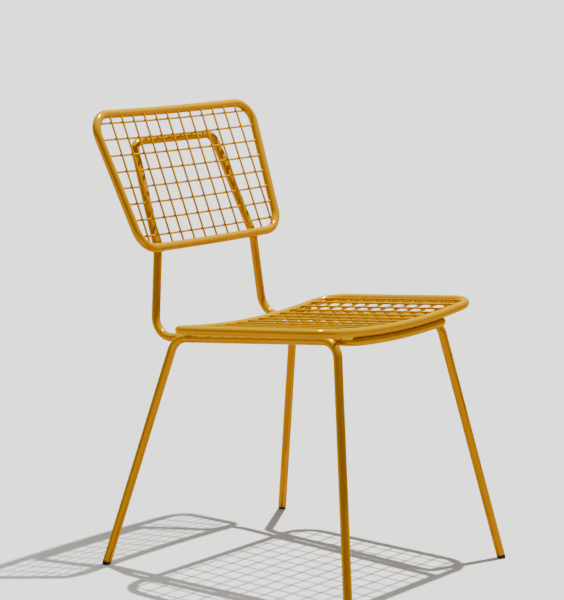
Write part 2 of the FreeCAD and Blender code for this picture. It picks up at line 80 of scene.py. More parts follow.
@dataclass(frozen=True)
class Turn:
    """Arc of a centre line."""

    start: Vector
    centre: Vector
    axis: Vector
    angle: float

    @classmethod
    def at(cls, before: Vector, corner: Vector, after: Vector, setback: float) -> Turn:
        """Arc that rounds a corner point.

        Args:
            before: The corner point before this one.
            corner: The corner point itself.
            after: The corner point after it.
            setback: Distance from the corner point to both ends of the arc.

        Returns:
            The arc, tangent to both straights.
        """
        arriving = (corner - before).normalized()
        leaving = (after - corner).normalized()
        angle = arriving.angle(leaving)
        radius = setback / math.tan(angle / 2)
        inward = (leaving - arriving).normalized()
        centre = corner + inward * (radius / math.cos(angle / 2))
        return cls(corner - arriving * setback, centre, arriving.cross(leaving).normalized(), angle)

    @classmethod
    def of_radius(cls, before: Vector, corner: Vector, after: Vector, radius: float) -> Turn:
        """Arc of a known radius that rounds a corner point."""
        half = (corner - before).angle(after - corner) / 2
        return cls.at(before, corner, after, radius * math.tan(half))

    def end(self) -> Vector:
        """Last point of the arc."""
        return self.centre + Matrix.Rotation(self.angle, 3, self.axis) @ (self.start - self.centre)

    def radius(self) -> float:
        """Radius of the arc."""
        return (self.start - self.centre).length

    def back(self) -> Turn:
        """The same arc from its end to its start."""
        return Turn(self.end(), self.centre, -self.axis, self.angle)


@dataclass(frozen=True)
class Bow:
    """Shallow bow of a rail or wire across the chair: an arc with straight, tangent ends.

    It is 0 deep at half_width from the middle plane and sag deep in the middle.
    """

    half_width: float
    sag: float
    straight: float

    def slope(self) -> float:
        """Angle of the straight ends."""
        return 2 * math.atan(self.sag / (self.half_width + self.straight))

    def radius(self) -> float:
        """Radius of the arc."""
        return (self.half_width - self.straight * math.cos(self.slope())) / math.sin(self.slope())

    def arc_half(self) -> float:
        """Distance from the middle plane to the ends of the arc."""
        return self.radius() * math.sin(self.slope())

    def depth(self, across: float) -> float:
        """Depth of the bow.

        Args:
            across: Distance from the middle plane, to either side.

        Returns:
            The depth there.
        """
        across = abs(across)
        if across > self.arc_half():
            return (self.half_width - across) * math.tan(self.slope())
        return self.sag - self.radius() + math.sqrt(self.radius() ** 2 - across ** 2)

    def between(self, other: Bow, share: float) -> Bow:
        """Bow at a share of the way to another one."""
        sizes = zip(astuple(self), astuple(other))
        return Bow(*(one * (1 - share) + two * share for one, two in sizes))


@dataclass
class Panel:
    """Plane of a ring: across is +X, along runs from its first rail to its second."""

    origin: Vector
    along: Vector
    deep: Vector

    def at(self, across: float, along: float, depth: float) -> Vector:
        """Point of the panel in the chair's frame."""
        return self.origin + ACROSS * across + self.along * along + self.deep * depth

    def bow_turn(self, bow: Bow, along: float = 0, layer: float = 0) -> Turn:
        """Arc of a bow from the middle plane to the right.

        Args:
            bow: The bow.
            along: Its place along the panel.
            layer: How far below the bow the arc runs.

        Returns:
            The arc.
        """
        middle = self.at(0, along, bow.sag + layer)
        centre = middle - self.deep * (bow.radius() + layer)
        return Turn(middle, centre, ACROSS.cross(-self.deep).normalized(), bow.slope())


# Bars


def deselected() -> None:
    """Leave edit mode, with nothing selected."""
    if bpy.context.object and bpy.context.object.mode != "OBJECT":
        bpy.ops.object.mode_set(mode="OBJECT")
    bpy.ops.object.select_all(action="DESELECT")


def alone(piece: bpy.types.Object) -> None:
    """Make a piece the active one, and the only one that is selected.

    Args:
        piece: The piece.
    """
    deselected()
    piece.select_set(True)
    bpy.context.view_layer.objects.active = piece


def outwards(piece: bpy.types.Object) -> bpy.types.Object:
    """Turn all faces of a piece outwards.

    Args:
        piece: The piece.

    Returns:
        The piece.
    """
    alone(piece)
    bpy.ops.object.mode_set(mode="EDIT")
    bpy.ops.mesh.select_all(action="SELECT")
    bpy.ops.mesh.normals_make_consistent(inside=False)
    bpy.ops.object.mode_set(mode="OBJECT")
    return piece


class Bar:
    """Round bar that is drawn from one end: a circle extruded, spun and swelled along a line."""

    def __init__(self, name: str, place: Vector, heading: Vector, radius: float, sides: int,
                 capped: bool = False) -> None:
        """Begin a bar.

        Args:
            name: The piece's name.
            place: Where the bar begins.
            heading: Which way it runs from there.
            radius: Its radius at its beginning.
            sides: How many flats its round section has.
            capped: Whether its beginning is closed.
        """
        deselected()
        bpy.ops.mesh.primitive_circle_add(
            vertices=sides, radius=radius, fill_type="NGON" if capped else "NOTHING",
            location=place, rotation=heading.to_track_quat("Z", "Y").to_euler(),
        )
        bpy.ops.object.transform_apply(location=True, rotation=True, scale=True)
        self.piece = bpy.context.object
        self.piece.name = name
        self.pen = place.copy()
        self.heading = heading.normalized()
        self.radius = radius
        bpy.ops.object.mode_set(mode="EDIT")
        bpy.ops.mesh.select_all(action="SELECT")

    def extrude(self, length: float) -> None:
        """Extrude straight ahead.

        Args:
            length: How far.
        """
        step = self.heading * length
        bpy.ops.mesh.extrude_region_move(TRANSFORM_OT_translate={"value": step})
        self.pen = self.pen + step

    def run(self, length: float) -> Bar:
        """Extrude straight ahead, if there is any length to go.

        Args:
            length: How far.

        Returns:
            The bar.
        """
        if length > CLOSE:
            self.extrude(length)
        return self

    def run_to(self, point: Vector) -> Bar:
        """Extrude straight to a point ahead."""
        return self.run((point - self.pen).dot(self.heading))

    def turn(self, arc: Turn, steps: int) -> Bar:
        """Extrude straight to an arc and spin round it.

        Args:
            arc: The arc.
            steps: How many steps the spin takes.

        Returns:
            The bar.
        """
        self.run_to(arc.start)
        bpy.ops.mesh.spin(steps=steps, dupli=False, angle=-arc.angle, center=arc.centre, axis=arc.axis)
        self.pen = arc.end()
        self.heading = (Matrix.Rotation(arc.angle, 3, arc.axis) @ self.heading).normalized()
        return self

    def flare(self, length: float, radius: float) -> Bar:
        """Extrude straight ahead and change the radius on the way.

        Args:
            length: How far. At 0 the bar gets a flat shoulder.
            radius: The new radius.

        Returns:
            The bar.
        """
        self.extrude(length)
        factor = radius / self.radius
        bpy.ops.transform.resize(value=(factor, factor, factor), center_override=self.pen)
        self.radius = radius
        return self

    def closed(self) -> Bar:
        """Close the end."""
        bpy.ops.mesh.edge_face_add()
        return self

    def done(self) -> bpy.types.Object:
        """Finish the mesh, with its doubles merged and its faces outwards.

        Returns:
            The piece, in object mode.
        """
        bpy.ops.mesh.select_all(action="SELECT")
        bpy.ops.mesh.remove_doubles(threshold=CLOSE)
        return outwards(self.piece)


def applied(piece: bpy.types.Object, kind: str, **settings: object) -> bpy.types.Object:
    """Add a modifier to a piece and apply it.

    Args:
        piece: The piece.
        kind: The modifier's type.
        settings: The modifier's settings, by name.

    Returns:
        The piece.
    """
    alone(piece)
    modifier = piece.modifiers.new(kind.title(), kind)
    for name, value in settings.items():
        setattr(modifier, name, value)
    bpy.ops.object.modifier_apply(modifier=modifier.name)
    return piece


def completed(piece: bpy.types.Object) -> bpy.types.Object:
    """Add the mirror image of the right half of a piece, joined at the middle plane."""
    applied(piece, "MIRROR", use_axis=(True, False, False), use_mirror_merge=True, merge_threshold=SEAM)
    return outwards(piece)


def copied(piece: bpy.types.Object, name: str, change: Matrix) -> bpy.types.Object:
    """Copy of a piece, with a mesh of its own.

    Args:
        piece: The piece.
        name: The copy's name.
        change: What moves or mirrors the copy's mesh.

    Returns:
        The copy.
    """
    twin = piece.copy()
    twin.data = piece.data.copy()
    twin.name = name
    bpy.context.scene.collection.objects.link(twin)
    twin.data.transform(change)
    return twin


def other_side(piece: bpy.types.Object, name: str) -> bpy.types.Object:
    """Mirror image of a piece, as a piece of its own."""
    return outwards(copied(piece, name, Matrix.Diagonal((-1, 1, 1, 1))))


def joined(name: str, pieces: list[bpy.types.Object]) -> bpy.types.Object:
    """Several meshes as one piece.

    Args:
        name: The name of the piece.
        pieces: The meshes, of which the first is kept.

    Returns:
        The piece.
    """
    alone(pieces[0])
    for piece in pieces:
        piece.select_set(True)
    bpy.ops.object.join()
    pieces[0].name = name
    return pieces[0]


def middle_of(piece: bpy.types.Object) -> Vector:
    """Middle of the box round a piece's mesh."""
    sides = zip(*(vertex.co for vertex in piece.data.vertices))
    return Vector([(min(side) + max(side)) / 2 for side in sides])


def seated(piece: bpy.types.Object, node: str) -> Vector:
    """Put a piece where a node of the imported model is, by the middles of their boxes.

    Args:
        piece: The piece, with its place in its mesh.
        node: The node that it stands for.

    Returns:
        How far the piece moved.
    """
    low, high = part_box(node)
    shift = (low + high) / 2 - middle_of(piece)
    piece.data.transform(Matrix.Translation(shift))
    log.info("%s moved %.2f mm to its place", piece.name, shift.length * 1000)
    return shift


# Finishes


class Shader:
    """Nodes of one material or shader group, added in reading order."""

    def __init__(self, tree: bpy.types.NodeTree) -> None:
        """Work on a node tree."""
        self.tree = tree

    def feed(self, socket: bpy.types.NodeSocket, value: object) -> None:
        """Link an input to another socket, or set its value.

        Args:
            socket: The input.
            value: The other socket, or the value.
        """
        if isinstance(value, bpy.types.NodeSocket):
            self.tree.links.new(value, socket)
        else:
            socket.default_value = value

    def give(self, node: bpy.types.Node, **inputs: object) -> bpy.types.Node:
        """Feed the inputs of a node.

        Args:
            node: The node.
            inputs: Values or sockets, by the input's name, with _ for a blank. A name in lower
                case is a property of the node.

        Returns:
            The node.
        """
        for name, value in inputs.items():
            if name[0].islower():
                setattr(node, name, value)
            else:
                self.feed(node.inputs[name.replace("_", " ")], value)
        return node

    def node(self, kind: str, **inputs: object) -> bpy.types.Node:
        """Add a node of a type, which is named without its ShaderNode prefix."""
        return self.give(self.tree.nodes.new("ShaderNode" + kind), **inputs)

    def maths(self, operation: str, first: object, second: object,
              kind: str = "Math") -> bpy.types.NodeSocket:
        """Number that is made of two others, or of two vectors.

        Args:
            operation: What is done with them.
            first: The first value or socket.
            second: The second value or socket.
            kind: The node's type.

        Returns:
            The number's socket.
        """
        made = self.node(kind, operation=operation)
        self.feed(made.inputs[0], first)
        self.feed(made.inputs[1], second)
        return made.outputs["Value"]

    def mixed(self, share: bpy.types.NodeSocket, first: object, second: object) -> bpy.types.NodeSocket:
        """Colour between two colours.

        Args:
            share: How far it is on the way to the second.
            first: The first colour or socket.
            second: The second colour or socket.

        Returns:
            The colour's socket.
        """
        made = self.node("Mix", data_type="RGBA", Factor=share)
        self.feed(made.inputs[MIX_FIRST], first)
        self.feed(made.inputs[MIX_SECOND], second)
        return made.outputs[MIX_RESULT]

    def noise(self, scale: object, detail: float, roughness: float = 0.5) -> bpy.types.NodeSocket:
        """Noise in the piece's own coordinates.

        Args:
            scale: Its scale, a value or a socket.
            detail: How many octaves it has.
            roughness: How strong the finer octaves are.

        Returns:
            The noise, from 0 to 1.
        """
        given = self.node("TexCoord").outputs["Object"]
        made = self.node("TexNoise", Vector=given, Scale=scale, Detail=detail, Roughness=roughness)
        return made.outputs["Fac"]

    def placed(self, effect: bpy.types.NodeTree, **values: float) -> bpy.types.NodeSocket:
        """Put a shader group in, with its own values, for its one output."""
        return self.node("Group", node_tree=effect, **values).outputs[0]


def group(name: str, inputs: dict[str, float], output: str) -> tuple[Shader, bpy.types.Node, bpy.types.Node]:
    """Empty shader group with named sockets.

    Args:
        name: The group's name.
        inputs: Its number inputs, with their defaults.
        output: Its number output.

    Returns:
        The group's shader, and the nodes of its inputs and of its output.
    """
    tree = bpy.data.node_groups.new(name, "ShaderNodeTree")
    for label, value in inputs.items():
        socket = tree.interface.new_socket(label, in_out="INPUT", socket_type="NodeSocketFloat")
        socket.default_value = value
    tree.interface.new_socket(output, in_out="OUTPUT", socket_type="NodeSocketFloat")
    return Shader(tree), tree.nodes.new("NodeGroupInput"), tree.nodes.new("NodeGroupOutput")


def orange_peel(pebble_share: float = 0.35) -> bpy.types.NodeTree:
    """Skin of a sprayed and baked coat: fine pebbles on slow waves.

    Args:
        pebble_share: Height of the pebbles, as a share of the waves'.

    Returns:
        The shader group.
    """
    shader, entry, leave = group("orange_peel", {"Pebble": 900.0, "Wave": 140.0}, "Height")
    pebbles = shader.noise(entry.outputs["Pebble"], detail=1.5, roughness=0.4)
    waves = shader.noise(entry.outputs["Wave"], detail=1.0, roughness=0.3)
    fine = shader.maths("MULTIPLY", pebbles, pebble_share)
    shader.give(leave, Height=shader.maths("ADD", fine, waves))
    return shader.tree


def tone_drift(fleck_share: float = 0.3) -> bpy.types.NodeTree:
    """Slow drift of tone over a painted or moulded surface, from 0 to 1.

    Args:
        fleck_share: Share of the small flecks. The rest are wide patches.

    Returns:
        The shader group.
    """
    shader, entry, leave = group("tone_drift", {"Patch": 9.0, "Fleck": 260.0}, "Mask")
    patches = shader.noise(entry.outputs["Patch"], detail=3.0)
    flecks = shader.noise(entry.outputs["Fleck"], detail=2.0, roughness=0.6)
    few = shader.maths("MULTIPLY", flecks, fleck_share)
    most = shader.maths("MULTIPLY", patches, 1 - fleck_share)
    shader.give(leave, Mask=shader.maths("ADD", few, most))
    return shader.tree


def paler_tops(softness: float = 0.8, unevenness: float = 0.4) -> bpy.types.NodeTree:
    """Mask of painted light on faces that look up: lighter and yellower, a little unevenly, from 0 to 1.

    Args:
        softness: Power of the slope. Below 1 the painted light reaches further down the sides.
        unevenness: How much stronger the painted light is in its strongest patches than in its weakest.

    Returns:
        The shader group.
    """
    shader, entry, leave = group("paler_tops", {"Amount": 0.8, "Patch": 30.0}, "Mask")
    # Painted light: the more a face looks up, the lighter and yellower its paint is made.
    normal = shader.node("NewGeometry").outputs["Normal"]
    upward = shader.node("SeparateXYZ", Vector=normal).outputs["Z"]
    flat = shader.maths("POWER", shader.maths("MAXIMUM", upward, 0.0), softness)
    patches = shader.maths("MULTIPLY", shader.noise(entry.outputs["Patch"], detail=4.0), unevenness)
    uneven = shader.maths("ADD", patches, 1 - unevenness / 2)
    painted_top = shader.maths("MULTIPLY", flat, uneven)
    shader.give(leave, Mask=shader.maths("MULTIPLY", painted_top, entry.outputs["Amount"]))
    return shader.tree


@dataclass(frozen=True)
class Effects:
    """Shader groups that the finishes share."""

    peel: bpy.types.NodeTree = field(default_factory=orange_peel)
    drift: bpy.types.NodeTree = field(default_factory=tone_drift)
    # Painted light on the faces of the paint that look up.
    fade: bpy.types.NodeTree = field(default_factory=paler_tops)


def begun(name: str) -> tuple[bpy.types.Material, Shader, bpy.types.Node]:
    """Begin a material.

    Args:
        name: The material's name.

    Returns:
        The material, its shader and the node of its surface.
    """
    made = bpy.data.materials.new(name)
    made.use_nodes = True
    return made, Shader(made.node_tree), made.node_tree.nodes["Principled BSDF"]


@dataclass(frozen=True)
class PowderCoat:
    """Glossy powder coat on steel, with painted light on its tops. Its reflections take the colour of the
    paint.
    """

    name: str = "golden_powder_coat"
    rich: Colour = (0.36, 0.132, 0.0, 1.0)
    light: Colour = (0.415, 0.162, 0.0, 1.0)
    # Painted light: the lighter, yellower tone given to faces that look up.
    painted_top: Colour = (0.365, 0.225, 0.0, 1.0)
    sheen: Colour = (1.0, 0.86, 0.12, 1.0)
    gloss: float = 0.0
    metallic: float = 0.42
    roughness: float = 0.08
    roughness_drift: float = 0.08
    peel_strength: float = 0.15
    peel_depth: float = 0.00006

    def material(self, effects: Effects) -> bpy.types.Material:
        """The finish as a material.

        Args:
            effects: The shared shader groups.

        Returns:
            The material.
        """
        made, shader, surface = begun(self.name)
        drift = shader.placed(effects.drift)
        paint = shader.mixed(drift, self.rich, self.light)
        # Painted light: faces that look up are mixed towards the lighter top tone.
        colour = shader.mixed(shader.placed(effects.fade), paint, self.painted_top)
        dulled = shader.maths("MULTIPLY", drift, self.roughness_drift)
        bump = shader.node("Bump", Strength=self.peel_strength, Distance=self.peel_depth,
                           Height=shader.placed(effects.peel))
        shader.give(surface, Base_Color=colour, Metallic=self.metallic,
                    Roughness=shader.maths("ADD", dulled, self.roughness),
                    Specular_IOR_Level=self.gloss, Specular_Tint=self.sheen,
                    Normal=bump.outputs["Normal"])
        return made


@dataclass(frozen=True)
class MouldedPlastic:
    """Dull black plastic with a fine moulded grain, scuffed lighter low down."""

    name: str = "black_moulded_plastic"
    colour: Colour = (0.005, 0.004, 0.004, 1.0)
    scuffed: Colour = (0.022, 0.020, 0.018, 1.0)
    scuff_height: float = 0.002
    patch: float = 300.0
    fleck: float = 1500.0
    gloss: float = 0.25
    roughness: float = 0.43
    roughness_drift: float = 0.15
    grain: float = 2600.0
    grain_wave: float = 900.0
    grain_strength: float = 0.5
    grain_depth: float = 0.00008

    def material(self, effects: Effects) -> bpy.types.Material:
        """The finish as a material.

        Args:
            effects: The shared shader groups.

        Returns:
            The material.
        """
        made, shader, surface = begun(self.name)
        drift = shader.placed(effects.drift, Patch=self.patch, Fleck=self.fleck)
        given = shader.node("TexCoord").outputs["Object"]
        height = shader.node("SeparateXYZ", Vector=given).outputs["Z"]
        low = shader.node("MapRange", Value=height, From_Min=self.scuff_height, From_Max=0.0)
        scuff = shader.maths("MULTIPLY", low.outputs["Result"], drift)
        dulled = shader.maths("MULTIPLY", drift, self.roughness_drift)
        grain = shader.placed(effects.peel, Pebble=self.grain, Wave=self.grain_wave)
        bump = shader.node("Bump", Strength=self.grain_strength, Distance=self.grain_depth, Height=grain)
        shader.give(surface, Base_Color=shader.mixed(scuff, self.colour, self.scuffed),
                    Roughness=shader.maths("ADD", dulled, self.roughness),
                    Specular_IOR_Level=self.gloss, Normal=bump.outputs["Normal"])
        return made


@dataclass(frozen=True)
class Lamp:
    """Key lamp over the chair, turned straight down. Its place is taken from the middle of the rails."""

    across: float = 0.634
    rearward: float = 0.061
    height: float = 3.593
    radius: float = 0.025
    power: float = 550.0
    falloff: float = 4.0

    def level(self) -> float:
        """Light that a white floor right under the lamp gives back."""
        return self.power / (math.pi * self.height) ** 2


@dataclass(frozen=True)
class StudioFloor:
    """Plain pale floor. Past the lamp's pool of light, the rest of the room lights it as bright."""

    lamp: Lamp
    lamp_place: tuple[float, float, float]
    name: str = "pale_floor"
    colour: Colour = (0.442, 0.442, 0.4335, 1.0)
    worn: Colour = (0.429, 0.429, 0.4205, 1.0)
    patch: float = 0.8
    fleck: float = 9.0
    roughness: float = 0.85
    gloss: float = 0.2

    def material(self, effects: Effects) -> bpy.types.Material:
        """The finish as a material.

        Args:
            effects: The shared shader groups.

        Returns:
            The material.
        """
        made, shader, surface = begun(self.name)
        drift = shader.placed(effects.drift, Patch=self.patch, Fleck=self.fleck)
        colour = shader.mixed(drift, self.colour, self.worn)
        given = shader.node("TexCoord").outputs["Object"]
        apart = shader.maths("DISTANCE", given, self.lamp_place, kind="VectorMath")
        cosine = shader.maths("DIVIDE", self.lamp.height, apart)
        missing = shader.maths("SUBTRACT", 1.0, shader.maths("POWER", cosine, self.lamp.falloff))
        strength = shader.maths("MULTIPLY", missing, self.lamp.level())
        shader.give(surface, Base_Color=colour, Roughness=self.roughness, Specular_IOR_Level=self.gloss,
                    Emission_Color=colour, Emission_Strength=strength)
        return made


@dataclass(frozen=True)
class Finishes:
    """Materials of the chair, by slot."""

    paint: bpy.types.Material
    plastic: bpy.types.Material

    def dress(self, piece: bpy.types.Object, slot: Slot, *nodes: str) -> None:
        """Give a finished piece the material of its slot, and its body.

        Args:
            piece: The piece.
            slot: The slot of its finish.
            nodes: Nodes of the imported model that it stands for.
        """
        piece.data.materials.clear()
        piece.data.materials.append(self.paint if slot is Slot.PAINT else self.plastic)
        alone(piece)
        bpy.ops.object.shade_smooth_by_angle(angle=SMOOTH_ANGLE)
        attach(piece, BODY)
        if nodes:
            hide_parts(*nodes)
        log.info("%s: %d faces", piece.name, len(piece.data.polygons))

    def dress_both(self, right: bpy.types.Object, slot: Slot, *nodes: str) -> None:
        """Dress a piece of the right side, and its mirror image for the left side.

        Args:
            right: The piece, with its side in its name.
            slot: The slot of their finish.
            nodes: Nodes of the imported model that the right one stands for.
        """
        left = other_side(right, right.name.replace("right", "left"))
        self.dress(right, slot, *nodes)
        self.dress(left, slot, *(node.replace("right", "left") for node in nodes))


# Pieces of the chair


@dataclass(frozen=True)
class Stock:
    """Tube and wire that the chair is bent from, and how finely they are drawn."""

    tube_radius: float = 0.008
    tube_wall: float = 0.0015
    wire_radius: float = 0.002
    weld_gap: float = 0.00025
    tube_sides: int = 40
    wire_sides: int = 14
    bend_steps: int = 16
    bow_steps: int = 14

    def beside(self) -> float:
        """Distance between the centre lines of two tubes that are welded together."""
        return 2 * self.tube_radius + self.weld_gap

    def tube(self, name: str, place: Vector, heading: Vector) -> Bar:
        """Begin a tube."""
        return Bar(name, place, heading, self.tube_radius, self.tube_sides)

    def wire(self, name: str, place: Vector, heading: Vector) -> Bar:
        """Begin a wire."""
        return Bar(name, place, heading, self.wire_radius, self.wire_sides)


@dataclass
class SideFrames:
    """Two flat frames, each a rear leg, a side rail and a front leg in one bent tube."""

    stock: Stock
    rail_half_rear: float = 0.171
    rail_half_front: float = 0.1503
    rail_length: float = 0.3508
    rail_height_rear: float = 0.420
    rail_height_front: float = 0.4521
    bend_radius: float = 0.033
    foot_half_rear: float = 0.2561
    rear_leg_reach: float = 0.0983
    front_leg_reach: float = 0.0903
    cap_height: float = 0.007

    def __post_init__(self) -> None:
        """Work out the corner points of the right frame."""
        low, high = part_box("side_frame_right")
        self.middle = (low.y + high.y) / 2 - (self.rear_leg_reach - self.front_leg_reach) / 2
        half = self.rail_length / 2
        self.rear_top = Vector((self.rail_half_rear, self.middle + half, self.rail_height_rear))
        self.front_top = Vector((self.rail_half_front, self.middle - half, self.rail_height_front))
        self.rear_foot = Vector((self.foot_half_rear, self.rear_top.y + self.rear_leg_reach, 0))
        flat = (self.front_top - self.rear_top).cross(self.rear_foot - self.rear_top)
        front_y = self.front_top.y - self.front_leg_reach
        from_top = flat.y * (front_y - self.rear_top.y) - flat.z * self.rear_top.z
        self.front_foot = Vector((self.rear_top.x - from_top / flat.x, front_y, 0))

    def rail_at(self, y: float) -> Vector:
        """Point of the right side rail's straight line at a depth."""
        share = (self.rear_top.y - y) / self.rail_length
        return self.rear_top.lerp(self.front_top, share)

    def beside(self) -> float:
        """Distance, across the chair, from a side rail's centre line to that of a tube welded to it."""
        rail = self.front_top - self.rear_top
        return self.stock.beside() / abs(Vector((rail.x, rail.y)).normalized().y)

    def tube_end(self, foot: Vector, top: Vector) -> Vector:
        """Centre of the open end of a leg's tube."""
        return foot + (top - foot).normalized() * self.cap_height

    def build(self, finishes: Finishes) -> None:
        """Bend both frames.

        Args:
            finishes: Materials of the chair.
        """
        start = self.tube_end(self.rear_foot, self.rear_top)
        end = self.tube_end(self.front_foot, self.front_top)
        bar = self.stock.tube("side_frame_tube_right", start, self.rear_top - start)
        points = [start, self.rear_top, self.front_top, end]
        for before, corner, after in zip(points, points[1:], points[2:]):
            bar.turn(Turn.of_radius(before, corner, after, self.bend_radius), self.stock.bend_steps)
        right = bar.run_to(end).done()
        applied(right, "SOLIDIFY", thickness=self.stock.tube_wall, offset=-1.0)
        seated(right, "side_frame_right")
        finishes.dress_both(right, Slot.PAINT, "side_frame_right")


@dataclass
class FootCaps:
    """Black caps pressed into the open ends of the legs."""

    stock: Stock
    frames: SideFrames
    fit: float = 0.0001
    stem: float = 0.018
    below_floor: float = 0.012
    shoulder: float = 0.0006
    sole_round: float = 0.0034
    sole_steps: int = 8
    ribs: int = 4
    rib_height: float = 0.0003
    groove_share: float = 0.6
    flank_share: float = 0.1
    crest_share: float = 0.2
    tip_share: float = 0.3
    tip_radius_share: float = 0.85

    def cap(self, name: str, foot: Vector, top: Vector) -> bpy.types.Object:
        """One cap: a rounded head cut level with the floor, and a ribbed stem.

        Args:
            name: The piece's name.
            foot: Where the leg's centre line meets the floor.
            top: The top corner of that leg.

        Returns:
            The cap.
        """
        up = (top - foot).normalized()
        head = self.stock.tube_radius
        core = head - self.stock.tube_wall - self.fit - self.rib_height
        bar = Bar(name, foot - up * self.below_floor, up, head, self.stock.tube_sides, capped=True)
        seat = self.below_floor + self.frames.cap_height - self.fit
        bar.run(seat - 2 * self.shoulder).flare(self.shoulder, head - self.shoulder / 2)
        bar.flare(self.shoulder, head - self.shoulder).flare(0.0, core)
        pitch = self.stem / (self.ribs + 1)
        for _ in range(self.ribs):
            bar.run(pitch * self.groove_share).flare(pitch * self.flank_share, core + self.rib_height)
            bar.run(pitch * self.crest_share).flare(pitch * self.flank_share, core)
        bar.run(pitch * (1 - self.tip_share)).flare(pitch * self.tip_share, core * self.tip_radius_share)
        piece = bar.done()
        bpy.ops.object.mode_set(mode="EDIT")
        bpy.ops.mesh.select_all(action="SELECT")
        bpy.ops.mesh.bisect(plane_co=(0, 0, 0), plane_no=(0, 0, 1), use_fill=True, clear_inner=True)
        bpy.ops.mesh.select_mode(type="EDGE")
        bpy.ops.mesh.bevel(offset=self.sole_round, segments=self.sole_steps, affect="EDGES")
        bpy.ops.object.mode_set(mode="OBJECT")
        return piece

    def build(self, finishes: Finishes) -> None:
        """Mould the four caps.

        Args:
            finishes: Materials of the chair.
        """
        ends = {"rear": (self.frames.rear_foot, self.frames.rear_top),
                "front": (self.frames.front_foot, self.frames.front_top)}
        for end, (foot, top) in ends.items():
            right = self.cap(f"foot_cap_moulded_{end}_right", foot, top)
            finishes.dress_both(right, Slot.PLASTIC, f"foot_cap_{end}_right")


@dataclass
class Mesh:
    """Grid of wires in a ring, in two layers that are fused where they cross."""

    stock: Stock
    pitch_across: float
    pitch_along: float
    first_along: float
    margin: float = 0.015
    raised: float = 0.002
    let_in: float = 0.0038
    tip_degrees: tuple[int, ...] = (30, 55, 75)
    fuse_radius: float = 0.0026
    fuse_height: float = 0.0020
    toe_radius: float = 0.0031
    lump_sides: int = 12
    lump_rings: int = 8

    def over(self) -> float:
        """Depth of the straight wires' centre lines, on the sitter's side of the bowed wires."""
        return -self.raised - self.stock.wire_radius

    def under(self) -> float:
        """Depth of the bowed wires' centre lines."""
        return self.stock.wire_radius - self.raised

    def straights(self, half_width: float) -> list[float]:
        """Places of the straight wires across the panel."""
        count = int(2 * (half_width - self.margin) / self.pitch_across) + 1
        return [(number - (count - 1) / 2) * self.pitch_across for number in range(count)]

    def bows(self, length: float) -> list[float]:
        """Places of the bowed wires along the panel."""
        count = int((length - self.first_along - self.margin) / self.pitch_along) + 1
        return [self.first_along + number * self.pitch_along for number in range(count)]

    def tipped(self, bar: Bar) -> Bar:
        """Round off the end of a wire, as the weld melts it.

        Args:
            bar: The wire.

        Returns:
            The wire, closed.
        """
        radius = self.stock.wire_radius
        for angle in map(math.radians, self.tip_degrees):
            before = math.sqrt(max(0.0, 1 - (bar.radius / radius) ** 2))
            bar.flare(radius * (math.sin(angle) - before), radius * math.cos(angle))
        return bar.closed()

    def straight(self, name: str, start: Vector, end: Vector) -> bpy.types.Object:
        """One straight wire, drawn both ways from its middle so that both its tips are round.

        Args:
            name: The piece's name.
            start: Where one tip begins to round.
            end: Where the other does.

        Returns:
            The wire.
        """
        middle = (start + end) / 2
        halves = []
        for tip in (end, start):
            bar = self.stock.wire(name, middle, tip - middle)
            halves.append(self.tipped(bar.run((tip - middle).length)).done())
        return outwards(applied(joined(name, halves), "WELD", merge_threshold=SEAM))

    def bowed(self, name: str, panel: Panel, bow: Bow, along: float, reach: float) -> bpy.types.Object:
        """One bowed wire, from the middle plane to its tip and mirrored.

        Args:
            name: The piece's name.
            panel: The panel that it lies in.
            bow: Its bow.
            along: Its place along the panel.
            reach: How far from the middle plane its tip begins to round.

        Returns:
            The wire.
        """
        arc = panel.bow_turn(bow, along, self.under())
        if reach < arc.end().x:
            arc = replace(arc, angle=math.asin(reach / arc.radius()))
        bar = self.stock.wire(name, arc.start, ACROSS).turn(arc, self.stock.bow_steps)
        bar.run((reach - bar.pen.x) / bar.heading.x)
        return completed(self.tipped(bar).done())

    def pressed(self, name: str, places: list[Vector], deep: Vector, radius: float) -> bpy.types.Object:
        """Small flat lumps of weld, all alike.

        Args:
            name: The piece's name.
            places: Where they are.
            deep: The direction in which they are flat.
            radius: Their radius.

        Returns:
            All of them as one piece.
        """
        deselected()
        bpy.ops.mesh.primitive_uv_sphere_add(
            segments=self.lump_sides, ring_count=self.lump_rings, radius=radius,
            scale=(1, 1, self.fuse_height / radius), rotation=deep.to_track_quat("Z", "Y").to_euler(),
        )
        bpy.ops.object.transform_apply(location=True, rotation=True, scale=True)
        lump = bpy.context.object
        others = [copied(lump, name, Matrix.Translation(place)) for place in places[1:]]
        lump.data.transform(Matrix.Translation(places[0]))
        return joined(name, [lump, *others])


